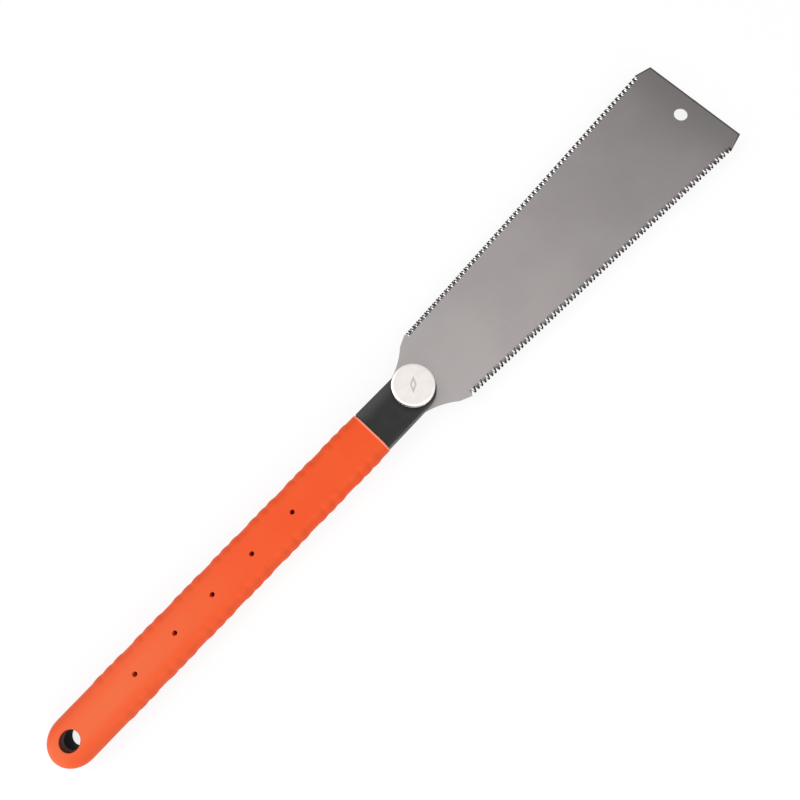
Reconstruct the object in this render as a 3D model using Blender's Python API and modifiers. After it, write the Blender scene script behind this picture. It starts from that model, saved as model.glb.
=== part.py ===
"""Double edged pull saw with a changeable blade, as separate solids at real size.

The saw lies on its back: +X points to the toe of the blade, +Y to the crosscut edge and +Z up
through the clamp knob. Lengths are in metres. The sections below measure x from the clamp axis,
and `place_on_origin` at the end moves the whole saw so that the origin is under its middle.
"""

import math

import bmesh
import bpy
from mathutils import Matrix, Vector

MM = 0.001

# Clearance between two pieces that touch or fit in the real saw
CLEARANCE = 0.3 * MM

# Grip: soft sleeve moulded over the core
GRIP_LENGTH = 264.7 * MM
GRIP_THICKNESS = 18.0 * MM
GRIP_BUTT_WIDTH = 30.8 * MM
GRIP_FRONT_WIDTH = 31.8 * MM
GRIP_LAND_WIDTH = 16.0 * MM
GRIP_LIP_RADIUS = 0.8 * MM
RIB_HEIGHT = 0.6 * MM
RIB_PITCH = 7.9 * MM
RIBS_IN_GROUP = 3
RIBS_FROM_FRONT = 19.6 * MM
PIN_HOLE_DIAMETER = 3.0 * MM
PIN_HOLES_FROM_FRONT = (69.0 * MM, 103.1 * MM, 135.7 * MM, 165.9 * MM, 197.5 * MM)
HANG_HOLE_DIAMETER = 12.0 * MM
HANG_HOLE_FROM_BUTT = 17.0 * MM
HANG_HOLE_RIM = 0.9 * MM

# Core: head with two jaws, and the stem inside the grip
HEAD_WIDTH = 29.1 * MM
HEAD_THICKNESS = 15.0 * MM
HEAD_LENGTH = 37.7 * MM
HEAD_EDGE_RADIUS = 2.4 * MM
HEAD_WALL = 4.25 * MM
COLLAR_WIDTH = 29.7 * MM
STEM_WIDTH = 20.0 * MM
STEM_THICKNESS = 6.6 * MM
STEM_ROOT = 2.0 * MM
EYE_WALL = 4.0 * MM
EYE_BOSS_WALL = 2.2 * MM

# Blade: plate and tang
BLADE_THICKNESS = 0.6 * MM
CUTTING_LENGTH = 248.0 * MM
HEEL_FROM_CLAMP = 22.8 * MM
HEEL_WIDTH = 59.5 * MM
BLADE_TAPER = 0.0517
TOE_WIDTH = 78.0 * MM
TOE_CHAMFER_LENGTH = 11.5 * MM
TOE_HOLE_DIAMETER = 9.3 * MM
TOE_HOLE_FROM_TOE = 15.0 * MM
NECK_RADIUS = 52.0 * MM
NECK_CORNER_FROM_HEEL = 8.0 * MM
NECK_CORNER_DROP = 3.6 * MM
SHOULDER_FROM_CLAMP = 8.5 * MM
TANG_END_WALL = 3.7 * MM
TANG_CORNER = 1.5 * MM

# Teeth: lengths along the edge, out of it, and across the thickness of the plate
TOOTH_SET = 0.17 * MM
TOOTH_EDGE = 0.08 * MM
CROSSCUT_PITCH = 2.0 * MM
CROSSCUT_DEPTH = 3.0 * MM
CROSSCUT_LEAN = 0.05 * MM
CROSSCUT_TOP = 0.9 * MM
CROSSCUT_TOP_DROP = 0.3 * MM
CROSSCUT_SLANT = 0.8 * MM
RIP_PITCH = 3.03 * MM
RIP_DEPTH = 4.4 * MM
RIP_LEAN = 0.15 * MM
RIP_TOP = 1.25 * MM
RIP_TOP_DROP = 0.35 * MM
RIP_SLANT = 1.1 * MM

# Clamp: knob, stud, washers and nut
KNOB_DIAMETER = 27.4 * MM
KNOB_THICKNESS = 4.6 * MM
KNOB_RIM_WIDTH = 1.9 * MM
KNOB_RIM_DROP = 0.5 * MM
KNOB_EDGE = 0.4 * MM
KNOB_ROOF = 1.9 * MM
STUD_DIAMETER = 8.0 * MM
STUD_TIP = 0.8 * MM
STUD_END_DEPTH = 0.6 * MM
FLAT_WASHER_DIAMETER = 20.0 * MM
FLAT_WASHER_THICKNESS = 1.0 * MM
SPRING_WASHER_WIDTH = 3.0 * MM
SPRING_WASHER_THICKNESS = 1.2 * MM
SPRING_WASHER_RISE = 0.2 * MM
SPRING_WASHER_GAP = math.radians(14)
NUT_WIDTH = 13.0 * MM
NUT_THICKNESS = 4.5 * MM
NUT_DEPTH = 0.3 * MM

# Fineness of the curved faces
ROUND_STEPS = 32
KNOB_STEPS = 64
GRIP_SIDE_STEPS = 5
BUTT_STEPS = 12
NECK_STEPS = 8
EDGE_STEPS = 3

# Places and sizes that follow from those above
BLADE_Z = GRIP_THICKNESS / 2
SLIT_LOW = BLADE_Z - BLADE_THICKNESS / 2 - CLEARANCE
SLIT_HIGH = BLADE_Z + BLADE_THICKNESS / 2 + CLEARANCE
HEAD_RADIUS = HEAD_WIDTH / 2
HEAD_TOP = BLADE_Z + HEAD_THICKNESS / 2
HEAD_BOTTOM = BLADE_Z - HEAD_THICKNESS / 2
GRIP_FRONT_X = -HEAD_LENGTH
BUTT_X = GRIP_FRONT_X - GRIP_LENGTH
BUTT_RADIUS = GRIP_BUTT_WIDTH / 2
HANG_HOLE_X = BUTT_X + HANG_HOLE_FROM_BUTT
EYE_RADIUS = max(HANG_HOLE_DIAMETER / 2 + EYE_WALL, STEM_WIDTH / 2)
EYE_BOSS_RADIUS = HANG_HOLE_DIAMETER / 2 + EYE_BOSS_WALL
TANG_END_X = GRIP_FRONT_X + TANG_END_WALL
TANG_WIDTH = HEAD_WIDTH - 2 * HEAD_WALL - 2 * CLEARANCE
TOE_X = HEEL_FROM_CLAMP + CUTTING_LENGTH + TOE_CHAMFER_LENGTH
STUD_RADIUS = STUD_DIAMETER / 2
STUD_BORE_RADIUS = STUD_RADIUS + CLEARANCE
WASHER_Z = HEAD_TOP + CLEARANCE
SPRING_Z = WASHER_Z + FLAT_WASHER_THICKNESS + CLEARANCE
KNOB_Z = SPRING_Z + SPRING_WASHER_THICKNESS + SPRING_WASHER_RISE + CLEARANCE
KNOB_TOP = KNOB_Z + KNOB_THICKNESS
NUT_Z = HEAD_BOTTOM + NUT_DEPTH

# How far a cutter runs past the face that it cuts
PAST = 2.0 * MM


def clear_scene():
    for obj in list(bpy.data.objects):
        bpy.data.objects.remove(obj, do_unlink=True)


def make_collection(name, hidden=False):
    collection = bpy.data.collections.new(name)
    collection.hide_render = hidden
    bpy.context.scene.collection.children.link(collection)
    return collection


def make_material(name, colour, roughness, metallic):
    material = bpy.data.materials.new(name)
    material.use_nodes = True
    shader = material.node_tree.nodes["Principled BSDF"]
    shader.inputs["Base Color"].default_value = (*colour, 1.0)
    shader.inputs["Roughness"].default_value = roughness
    shader.inputs["Metallic"].default_value = metallic
    return material


def add_part(mesh, material):
    obj = bpy.data.objects.new(mesh.name, mesh)
    saw.objects.link(obj)
    mesh.materials.append(material)
    return obj


def add_cutter(mesh):
    obj = bpy.data.objects.new(mesh.name, mesh)
    cutters.objects.link(obj)
    obj.hide_render = True
    obj.display_type = "WIRE"
    return obj


def boolean(target, mesh, operation="DIFFERENCE"):
    modifier = target.modifiers.new(mesh.name, "BOOLEAN")
    modifier.operation = operation
    modifier.object = add_cutter(mesh)


def shade_round(obj):
    """Smooth shading that keeps flat faces flat beside their rounded edges."""
    obj.data.shade_smooth()
    obj.data.set_sharp_from_angle(angle=math.radians(35))
    normals = obj.modifiers.new("normals", "WEIGHTED_NORMAL")
    normals.keep_sharp = True


def mesh_from(bm, name):
    bmesh.ops.recalc_face_normals(bm, faces=bm.faces)
    mesh = bpy.data.meshes.new(name)
    bm.to_mesh(mesh)
    bm.free()
    return mesh


def extruded_mesh(name, loops, z_low, z_high):
    """Mesh of flat closed outlines, filled and extruded between two heights."""
    curve = bpy.data.curves.new(name, "CURVE")
    curve.dimensions = "2D"
    curve.fill_mode = "BOTH"
    curve.extrude = (z_high - z_low) / 2
    for loop in loops:
        spline = curve.splines.new("POLY")
        spline.points.add(len(loop) - 1)
        for point, (x, y) in zip(spline.points, loop):
            point.co = (x, y, 0.0, 1.0)
        spline.use_cyclic_u = True
    holder = bpy.data.objects.new(name, curve)
    cutters.objects.link(holder)
    graph = bpy.context.evaluated_depsgraph_get()
    outline = bpy.data.meshes.new_from_object(holder.evaluated_get(graph))
    bpy.data.objects.remove(holder)
    bpy.data.curves.remove(curve)
    bm = bmesh.new()
    bm.from_mesh(outline)
    bpy.data.meshes.remove(outline)
    bmesh.ops.remove_doubles(bm, verts=bm.verts, dist=0.01 * MM)
    bmesh.ops.translate(bm, verts=bm.verts, vec=(0, 0, (z_low + z_high) / 2))
    return mesh_from(bm, name)


def box_mesh(name, low, high):
    low = Vector(low)
    high = Vector(high)
    bm = bmesh.new()
    bmesh.ops.create_cube(bm, size=1.0)
    bmesh.ops.scale(bm, verts=bm.verts, vec=high - low)
    bmesh.ops.translate(bm, verts=bm.verts, vec=(low + high) / 2)
    return mesh_from(bm, name)


def cylinder_mesh(name, radius, z_low, z_high, x=0.0, steps=ROUND_STEPS):
    bm = bmesh.new()
    depth = z_high - z_low
    bmesh.ops.create_cone(
        bm, cap_ends=True, segments=steps, radius1=radius, radius2=radius, depth=depth
    )
    bmesh.ops.translate(bm, verts=bm.verts, vec=(x, 0, z_low + depth / 2))
    return mesh_from(bm, name)


def turn(obj, steps):
    """Turns an object's profile once round the z axis."""
    screw = obj.modifiers.new("turn", "SCREW")
    screw.steps = steps
    screw.render_steps = steps
    screw.use_merge_vertices = True
    screw.merge_threshold = 0.01 * MM


def profile_mesh(name, points, ring=False):
    """Profile of (radius, z) points for `turn`, from the top down the outer side."""
    links = [(i, i + 1) for i in range(len(points) - 1)]
    if ring:
        links.append((len(points) - 1, 0))
    mesh = bpy.data.meshes.new(name)
    mesh.from_pydata([(radius, 0, z) for radius, z in points], links, [])
    return mesh


def arc(centre_x, radius, start, end, steps):
    """Points on an arc about (centre_x, 0), with angles in degrees."""
    points = []
    for i in range(steps + 1):
        angle = math.radians(start + (end - start) * i / steps)
        points.append((centre_x + radius * math.cos(angle), radius * math.sin(angle)))
    return points


def hollow_arc(start, end, radius, steps):
    """Points on an arc from start to end that sags to the right of that line."""
    start = Vector(start)
    end = Vector(end)
    chord = end - start
    reach = math.sqrt(max(radius**2 - chord.length_squared / 4, 0.0))
    centre = (start + end) / 2 + Vector((-chord.y, chord.x)).normalized() * reach
    opening = (start - centre).angle_signed(end - centre)
    points = []
    for i in range(steps + 1):
        turned = Matrix.Rotation(-opening * i / steps, 2) @ (start - centre)
        points.append(tuple(centre + turned))
    return points


# Grip


def rib_groups():
    """Middle of each group of ribs, from the front to where the butt starts to round."""
    period = (RIBS_IN_GROUP + 1) * RIB_PITCH
    room = GRIP_LENGTH - RIBS_FROM_FRONT - BUTT_RADIUS - RIBS_IN_GROUP * RIB_PITCH / 2
    count = int(room / period) + 1
    return [GRIP_FRONT_X - RIBS_FROM_FRONT - period * i for i in range(count)]


def plain_half_width(x):
    share = (GRIP_FRONT_X - x) / GRIP_LENGTH
    return (GRIP_FRONT_WIDTH * (1 - share) + GRIP_BUTT_WIDTH * share) / 2


def lip_sections():
    """(x, half width, half height) round the front edge."""
    sections = []
    for i in range(EDGE_STEPS):
        angle = math.pi / 2 * i / (EDGE_STEPS - 1)
        inset = GRIP_LIP_RADIUS * (1 - math.sin(angle))
        x = GRIP_FRONT_X - GRIP_LIP_RADIUS * (1 - math.cos(angle))
        sections.append((x, plain_half_width(x) - inset, GRIP_THICKNESS / 2 - inset))
    return sections


def rib_sections():
    """(x, half width, half height) over the ribs, each a low arch of four steps."""
    sections = []
    for middle in rib_groups():
        start = middle + RIBS_IN_GROUP * RIB_PITCH / 2
        for i in range(4 * RIBS_IN_GROUP + 1):
            x = start - RIB_PITCH * i / 4
            swell = RIB_HEIGHT * abs(math.sin(math.pi / 4 * i))
            sections.append((x, plain_half_width(x) + swell, GRIP_THICKNESS / 2))
    return sections


def section_points(half_width, half_height):
    """One section as (y, z): flat lands above and below, joined by elliptic sides."""
    land = half_width * GRIP_LAND_WIDTH / GRIP_FRONT_WIDTH
    quarter = []
    for i in range(GRIP_SIDE_STEPS + 1):
        angle = math.pi / 2 * i / GRIP_SIDE_STEPS
        side = (half_width - land) * math.sin(angle)
        quarter.append((land + side, half_height * math.cos(angle)))
    right = quarter + [(y, -z) for y, z in reversed(quarter[:-1])]
    return right + [(-y, z) for y, z in reversed(right)]


def close_butt(bm, last):
    """Turns the right half of the last section half way round, to the left half, as the butt."""
    count = len(last) // 2
    centre = BUTT_X + BUTT_RADIUS
    steps = [last[:count]]
    for i in range(1, BUTT_STEPS):
        angle = math.pi * i / BUTT_STEPS
        across, back = math.cos(angle), math.sin(angle)
        places = [(centre - v.co.y * back, v.co.y * across, v.co.z) for v in steps[0]]
        steps.append([bm.verts.new(place) for place in places])
    steps.append(last[:count - 1:-1])
    for near, far in zip(steps, steps[1:]):
        for i in range(count - 1):
            bm.faces.new((near[i], near[i + 1], far[i + 1], far[i]))
    for i in (0, count - 1):
        bm.faces.new([step[i] for step in steps])


def grip_mesh():
    """Sleeve lofted from the front lip to the round butt, with its ribs."""
    bm = bmesh.new()
    rings = []
    butt_start = (BUTT_X + BUTT_RADIUS, BUTT_RADIUS, GRIP_THICKNESS / 2)
    for x, half_width, half_height in lip_sections() + rib_sections() + [butt_start]:
        points = section_points(half_width, half_height)
        rings.append([bm.verts.new((x, y, BLADE_Z + z)) for y, z in points])
    for near, far in zip(rings, rings[1:]):
        for i in range(len(near)):
            j = (i + 1) % len(near)
            bm.faces.new((near[i], near[j], far[j], far[i]))
    bm.faces.new(rings[0])
    close_butt(bm, rings[-1])
    return mesh_from(bm, "grip")


def hang_hole_rim(radius):
    """Half of the bore's profile, from above the face down to the middle of the grip."""
    rim = [(0, GRIP_THICKNESS + PAST), (radius + HANG_HOLE_RIM, GRIP_THICKNESS + PAST)]
    for i in range(EDGE_STEPS + 1):
        angle = math.pi / 2 * i / EDGE_STEPS
        flare = HANG_HOLE_RIM * (1 - math.sin(angle))
        sink = HANG_HOLE_RIM * (1 - math.cos(angle))
        rim.append((radius + flare, GRIP_THICKNESS - sink))
    return rim + [(radius, BLADE_Z)]


def hang_hole_profile():
    """Bore through the grip, wider at the back for the boss of the core, with rounded rims."""
    back = hang_hole_rim(EYE_BOSS_RADIUS + CLEARANCE)
    return hang_hole_rim(HANG_HOLE_DIAMETER / 2) + [(r, GRIP_THICKNESS - z) for r, z in back[::-1]]


def stem_outline(spare):
    """Plan of the stem: straight sides and a round eye for the hanging hole."""
    half = STEM_WIDTH / 2 + spare
    radius = EYE_RADIUS + spare
    front = GRIP_FRONT_X + STEM_ROOT
    meet = math.degrees(math.asin(half / radius))
    return [(front, half)] + arc(HANG_HOLE_X, radius, meet, 360 - meet, 16) + [(front, -half)]


def stem_mesh(name, spare):
    half = STEM_THICKNESS / 2 + spare
    return extruded_mesh(name, [stem_outline(spare)], BLADE_Z - half, BLADE_Z + half)


def build_grip(material):
    grip = add_part(grip_mesh(), material)
    boolean(grip, stem_mesh("stem_room", CLEARANCE))
    boolean(grip, profile_mesh("hang_hole", hang_hole_profile()))
    turn(cutters.objects["hang_hole"], ROUND_STEPS)
    cutters.objects["hang_hole"].location.x = HANG_HOLE_X
    last_place = GRIP_LENGTH - HANG_HOLE_FROM_BUTT - HANG_HOLE_DIAMETER
    for i, distance in enumerate(d for d in PIN_HOLES_FROM_FRONT if d < last_place):
        top = GRIP_THICKNESS + PAST
        x = GRIP_FRONT_X - distance
        boolean(
            grip, cylinder_mesh(f"pin_hole_{i}", PIN_HOLE_DIAMETER / 2, BLADE_Z, top, x, steps=12)
        )
    shade_round(grip)


# Core


def head_mesh():
    """Head with straight sides, a full round front, and rounded upper and lower edges."""
    rear = GRIP_FRONT_X + CLEARANCE
    outline = [(rear, COLLAR_WIDTH / 2), (rear, -COLLAR_WIDTH / 2)]
    outline += arc(0, HEAD_RADIUS, -90, 90, 20)
    mesh = extruded_mesh("handle_core", [outline], HEAD_BOTTOM, HEAD_TOP)
    bm = bmesh.new()
    bm.from_mesh(mesh)
    bpy.data.meshes.remove(mesh)
    bmesh.ops.dissolve_limit(bm, angle_limit=math.radians(1), verts=bm.verts, edges=bm.edges)
    rims = []
    for edge in bm.edges:
        low, high = sorted(vert.co.z for vert in edge.verts)
        front = max(vert.co.x for vert in edge.verts)
        if high - low < CLEARANCE and front > rear + CLEARANCE:
            rims.append(edge)
    radius = min(HEAD_EDGE_RADIUS, HEAD_THICKNESS / 4)
    bmesh.ops.bevel(
        bm, geom=rims, offset=radius, segments=EDGE_STEPS, profile=0.5, affect="EDGES"
    )
    return mesh_from(bm, "handle_core")


def build_core(material):
    core = add_part(head_mesh(), material)
    boolean(core, stem_mesh("stem", 0.0), "UNION")
    side = max(HEAD_WIDTH, COLLAR_WIDTH) / 2 + PAST
    slit_back = -SHOULDER_FROM_CLAMP - CLEARANCE
    slit_front = HEAD_RADIUS + PAST
    boolean(core, box_mesh("slit", (slit_back, -side, SLIT_LOW), (slit_front, side, SLIT_HIGH)))
    guide = TANG_WIDTH / 2 + CLEARANCE
    back = TANG_END_X - CLEARANCE
    front = slit_back + PAST
    boolean(core, box_mesh("pocket", (back, -guide, SLIT_LOW), (front, guide, SLIT_HIGH)))
    low = HEAD_BOTTOM - PAST
    boolean(core, cylinder_mesh("stud_bore", STUD_BORE_RADIUS, low, HEAD_TOP + PAST))
    half = NUT_WIDTH / 2 + CLEARANCE
    ceiling = NUT_Z + NUT_THICKNESS + CLEARANCE
    boolean(core, box_mesh("nut_seat", (-half, -half, low), (half, half, ceiling)))
    boss = cylinder_mesh("eye_boss", EYE_BOSS_RADIUS, HEAD_BOTTOM, BLADE_Z, HANG_HOLE_X)
    boolean(core, boss, "UNION")
    eye = cylinder_mesh("eye_bore", HANG_HOLE_DIAMETER / 2, 0, GRIP_THICKNESS, HANG_HOLE_X)
    boolean(core, eye)
    shade_round(core)


# Blade


def edge_line(x):
    """Distance of the tooth tips from the middle of the blade."""
    return HEEL_WIDTH / 2 + BLADE_TAPER * (x - HEEL_FROM_CLAMP)


def tooth_roots(pitch, depth, side):
    """Bottom of each gullet of a row, from heel to toe, with the row centred on the edge."""
    count = int(CUTTING_LENGTH / pitch + 0.01)
    start = HEEL_FROM_CLAMP + (CUTTING_LENGTH - (count - 1) * pitch) / 2
    xs = [start + pitch * i for i in range(count)]
    return [(x, side * (edge_line(x) - depth)) for x in xs]


def neck_outline():
    """Crosscut side of the neck, from the shoulder at the head out to the heel."""
    heel = (HEEL_FROM_CLAMP, edge_line(HEEL_FROM_CLAMP))
    corner = (heel[0] - NECK_CORNER_FROM_HEEL, heel[1] - NECK_CORNER_DROP)
    shoulder = (-SHOULDER_FROM_CLAMP, HEAD_RADIUS)
    return hollow_arc(shoulder, corner, NECK_RADIUS, NECK_STEPS) + [heel]


def toe_outline(roots, lean, side):
    """End of one edge: the land past its last gullet, then the chamfer to the toe."""
    land = roots[-1][0] + lean
    return [(land, side * edge_line(land)), (TOE_X, side * TOE_WIDTH / 2)]


def tang_outline(side):
    """One side of the tang, from its open slot at the back round to the shoulder."""
    tang = TANG_WIDTH / 2
    inner = [(TANG_END_X, STUD_BORE_RADIUS), (TANG_END_X, tang - TANG_CORNER)]
    outer = [(TANG_END_X + TANG_CORNER, tang), (-SHOULDER_FROM_CLAMP, tang)]
    return [(x, side * y) for x, y in inner + outer]


def blade_outline(crosscut, rip):
    neck = neck_outline()
    rip_side = tang_outline(-1) + [(x, -y) for x, y in neck] + rip + toe_outline(rip, RIP_LEAN, -1)
    crosscut_side = tang_outline(1) + neck + crosscut + toe_outline(crosscut, CROSSCUT_LEAN, 1)
    return rip_side + crosscut_side[::-1] + arc(0, STUD_BORE_RADIUS, 90, -90, 12)


def slant_gullets(bm, roots, slant):
    """Turns each gullet across the plate, one left and the next right, as a grinding wheel does."""
    pitch = roots[1][0] - roots[0][0]
    side = math.copysign(1, roots[0][1])
    for vert in bm.verts:
        number = round((vert.co.x - roots[0][0]) / pitch)
        if not 0 <= number < len(roots):
            continue
        if (vert.co.xy - Vector(roots[number])).length > CLEARANCE:
            continue
        turn_way = 1 if number % 2 else -1
        face = 1 if vert.co.z > BLADE_Z else -1
        shift = -slant / 2 * face * turn_way
        vert.co.x += shift
        vert.co.y += side * BLADE_TAPER * shift


def row_walls(bm, roots):
    """Edge faces of the plate between neighbouring gullets, from heel to toe."""
    walls = []
    for face in bm.faces:
        centre = face.calc_center_median()
        if abs(face.normal.z) > 0.5 or not roots[0][0] < centre.x < roots[-1][0]:
            continue
        share = (centre.x - roots[0][0]) / (roots[-1][0] - roots[0][0])
        line = roots[0][1] + share * (roots[-1][1] - roots[0][1])
        if abs(centre.y - line) < CLEARANCE:
            walls.append((centre.x, face))
    return [face for _, face in sorted(walls, key=lambda wall: wall[0])]


def draw_teeth(bm, roots, depth, lean, top, drop):
    """Draws each edge face of a row out into a tooth.

    The tip stands on the heel side, and the top falls from it to a knee. Both flanks and the top
    are ground from one face of the plate and the next tooth's from the other, so that each tip is
    a thin edge at the far face, and the tip is bent a little past that face.
    """
    side = math.copysign(1, roots[0][1])
    for number, wall in enumerate(row_walls(bm, roots)):
        root_x = roots[number][0]
        middle_x = wall.calc_center_median().x
        far = 1 if number % 2 else -1
        drawn = bmesh.ops.extrude_discrete_faces(bm, faces=[wall])["faces"][0]
        for vert in drawn.verts:
            is_tip = vert.co.x < middle_x
            x = root_x + lean + (0 if is_tip else top)
            fall = 0 if is_tip else drop
            share = 1 - fall / depth
            z = BLADE_THICKNESS / 2
            if (vert.co.z > BLADE_Z) != (far > 0):
                z = share * (BLADE_THICKNESS - TOOTH_EDGE) - BLADE_THICKNESS / 2
            z += share * TOOTH_SET
            vert.co = (x, side * (edge_line(x) - fall), BLADE_Z + far * z)


def build_blade(material):
    crosscut = tooth_roots(CROSSCUT_PITCH, CROSSCUT_DEPTH, 1)
    rip = tooth_roots(RIP_PITCH, RIP_DEPTH, -1)
    low = BLADE_Z - BLADE_THICKNESS / 2
    high = BLADE_Z + BLADE_THICKNESS / 2
    plate = extruded_mesh("plate", [blade_outline(crosscut, rip)], low, high)
    bm = bmesh.new()
    bm.from_mesh(plate)
    bpy.data.meshes.remove(plate)
    for normal_z in (-1, 1):
        cap = [face for face in bm.faces if face.normal.z * normal_z > 0.5]
        bmesh.ops.dissolve_faces(bm, faces=cap)
    slant_gullets(bm, crosscut, CROSSCUT_SLANT)
    slant_gullets(bm, rip, RIP_SLANT)
    caps = [face for face in bm.faces if len(face.verts) > 4]
    bmesh.ops.triangulate(bm, faces=caps, ngon_method="BEAUTY")
    bmesh.ops.dissolve_degenerate(bm, edges=bm.edges, dist=0.001 * MM)
    draw_teeth(bm, crosscut, CROSSCUT_DEPTH, CROSSCUT_LEAN, CROSSCUT_TOP, CROSSCUT_TOP_DROP)
    draw_teeth(bm, rip, RIP_DEPTH, RIP_LEAN, RIP_TOP, RIP_TOP_DROP)
    blade = add_part(mesh_from(bm, "blade"), material)
    hole_x = TOE_X - TOE_HOLE_FROM_TOE
    hole = cylinder_mesh("toe_hole", TOE_HOLE_DIAMETER / 2, low - PAST, high + PAST, hole_x)
    boolean(blade, hole)


# Clamp


def build_knob(material):
    """Turned knob with a shallow chamfered rim, bored from below for the stud."""
    radius = KNOB_DIAMETER / 2
    shoulder = KNOB_TOP - KNOB_RIM_DROP
    profile = [
        (0, KNOB_TOP),
        (radius - KNOB_RIM_WIDTH, KNOB_TOP),
        (radius - KNOB_EDGE, shoulder),
        (radius, shoulder - KNOB_EDGE),
        (radius, KNOB_Z + KNOB_EDGE),
        (radius - KNOB_EDGE, KNOB_Z),
        (0, KNOB_Z),
    ]
    knob = add_part(profile_mesh("clamp_knob", profile), material)
    turn(knob, KNOB_STEPS)
    bore_top = KNOB_TOP - KNOB_ROOF
    boolean(knob, cylinder_mesh("knob_bore", STUD_BORE_RADIUS, KNOB_Z - PAST, bore_top))


def build_stud(material):
    """Threaded stud with chamfered ends, fixed in the knob."""
    low = HEAD_BOTTOM + STUD_END_DEPTH
    high = KNOB_TOP - KNOB_ROOF - CLEARANCE
    stud = add_part(cylinder_mesh("clamp_stud", STUD_RADIUS, low, high), material)
    tip = stud.modifiers.new("tip", "BEVEL")
    tip.width = STUD_TIP
    tip.segments = 1
    tip.limit_method = "ANGLE"
    tip.angle_limit = math.radians(60)
    shade_round(stud)


def build_flat_washer(material):
    outer = FLAT_WASHER_DIAMETER / 2
    inner = STUD_BORE_RADIUS
    top = WASHER_Z + FLAT_WASHER_THICKNESS
    profile = [(inner, top), (outer, top), (outer, WASHER_Z), (inner, WASHER_Z)]
    washer = add_part(profile_mesh("flat_washer", profile, ring=True), material)
    turn(washer, ROUND_STEPS)


def build_spring_washer(material):
    """Square section wound once round the stud, with its two ends sprung apart."""
    inner = STUD_BORE_RADIUS
    outer = inner + SPRING_WASHER_WIDTH
    high = SPRING_Z + SPRING_WASHER_THICKNESS
    bm = bmesh.new()
    corners = [(inner, SPRING_Z), (outer, SPRING_Z), (outer, high), (inner, high)]
    section = bm.faces.new([bm.verts.new((radius, 0, z)) for radius, z in corners])
    start = Matrix.Rotation(SPRING_WASHER_GAP / 2, 3, "Z")
    bmesh.ops.rotate(bm, verts=bm.verts, cent=(0, 0, 0), matrix=start)
    bmesh.ops.spin(
        bm,
        geom=[section, *section.edges, *section.verts],
        cent=(0, 0, 0),
        axis=(0, 0, 1),
        dvec=(0, 0, SPRING_WASHER_RISE / ROUND_STEPS),
        angle=math.tau - SPRING_WASHER_GAP,
        steps=ROUND_STEPS,
    )
    washer = add_part(mesh_from(bm, "spring_washer"), material)
    shade_round(washer)


def build_nut(material):
    """Square nut in the back of the head."""
    half = NUT_WIDTH / 2
    top = NUT_Z + NUT_THICKNESS
    nut = add_part(box_mesh("clamp_nut", (-half, -half, NUT_Z), (half, half, top)), material)
    boolean(nut, cylinder_mesh("nut_bore", STUD_BORE_RADIUS, NUT_Z - PAST, top + PAST))


def place_on_origin():
    """Hangs every piece from an empty on the clamp axis, so that the saw's middle is at x = 0."""
    clamp_axis = bpy.data.objects.new("clamp_axis", None)
    clamp_axis.location.x = -(BUTT_X + TOE_X) / 2
    for obj in [*saw.objects, *cutters.objects]:
        obj.parent = clamp_axis
    saw.objects.link(clamp_axis)


clear_scene()
saw = make_collection("double_edged_saw")
cutters = make_collection("cutters", hidden=True)

zinc = make_material("zinc_plate", (0.6, 0.6, 0.58), 0.35, 1.0)
build_grip(make_material("orange_elastomer", (0.85, 0.12, 0.035), 0.55, 0.0))
build_core(make_material("black_nylon", (0.035, 0.033, 0.033), 0.5, 0.0))
build_blade(make_material("blade_steel", (0.42, 0.40, 0.40), 0.35, 1.0))
build_knob(make_material("satin_aluminium", (0.85, 0.82, 0.8), 0.3, 1.0))
build_stud(zinc)
build_flat_washer(zinc)
build_spring_washer(zinc)
build_nut(zinc)
place_on_origin()
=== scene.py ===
"""Looks of the double edged pull saw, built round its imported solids.

The saw lies on its back: +X points to the toe of the blade, +Y to the crosscut edge and +Z up
through the clamp knob. Lengths are in metres.
"""

import math

import bmesh
import bpy
from mathutils import Matrix, Vector
from mathutils.geometry import delaunay_2d_cdt


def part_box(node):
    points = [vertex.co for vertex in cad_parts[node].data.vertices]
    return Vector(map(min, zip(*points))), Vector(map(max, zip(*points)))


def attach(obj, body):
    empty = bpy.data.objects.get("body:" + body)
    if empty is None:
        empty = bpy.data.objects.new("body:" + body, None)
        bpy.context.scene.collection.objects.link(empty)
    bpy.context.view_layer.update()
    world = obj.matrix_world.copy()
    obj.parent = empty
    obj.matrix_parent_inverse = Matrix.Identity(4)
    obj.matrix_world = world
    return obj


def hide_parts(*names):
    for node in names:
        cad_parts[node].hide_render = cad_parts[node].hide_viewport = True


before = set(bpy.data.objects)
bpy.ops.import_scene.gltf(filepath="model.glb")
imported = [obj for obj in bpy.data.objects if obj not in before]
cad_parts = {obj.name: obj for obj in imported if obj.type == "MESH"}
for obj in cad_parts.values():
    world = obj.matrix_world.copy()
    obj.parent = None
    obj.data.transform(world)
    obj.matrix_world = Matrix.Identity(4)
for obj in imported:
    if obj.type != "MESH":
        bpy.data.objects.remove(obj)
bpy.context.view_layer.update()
MM = 0.001

# The photograph is taken from above the handle, a little to the rip side of the saw, with the
# toe of the blade further off than the butt. The view is measured from the middle of the saw.
CAMERA_PLACE = (-56.96 * MM, -72.2 * MM, 433.07 * MM)
CAMERA_AIM = (-0.61 * MM, 1.89 * MM, 9.08 * MM)
CAMERA_ROLL = math.radians(-9.25)
CAMERA_LENS = 30.7

camera = bpy.data.objects.new("camera", bpy.data.cameras.new("camera"))
bpy.context.scene.collection.objects.link(camera)
bpy.context.scene.camera = camera
camera.data.lens = CAMERA_LENS
camera.data.clip_start = 10 * MM
camera.location = CAMERA_PLACE
sight = Vector(CAMERA_AIM) - Vector(CAMERA_PLACE)
camera.rotation_euler = sight.to_track_quat("-Z", "Y").to_euler()
camera.rotation_euler.rotate_axis("Z", CAMERA_ROLL)

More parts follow.
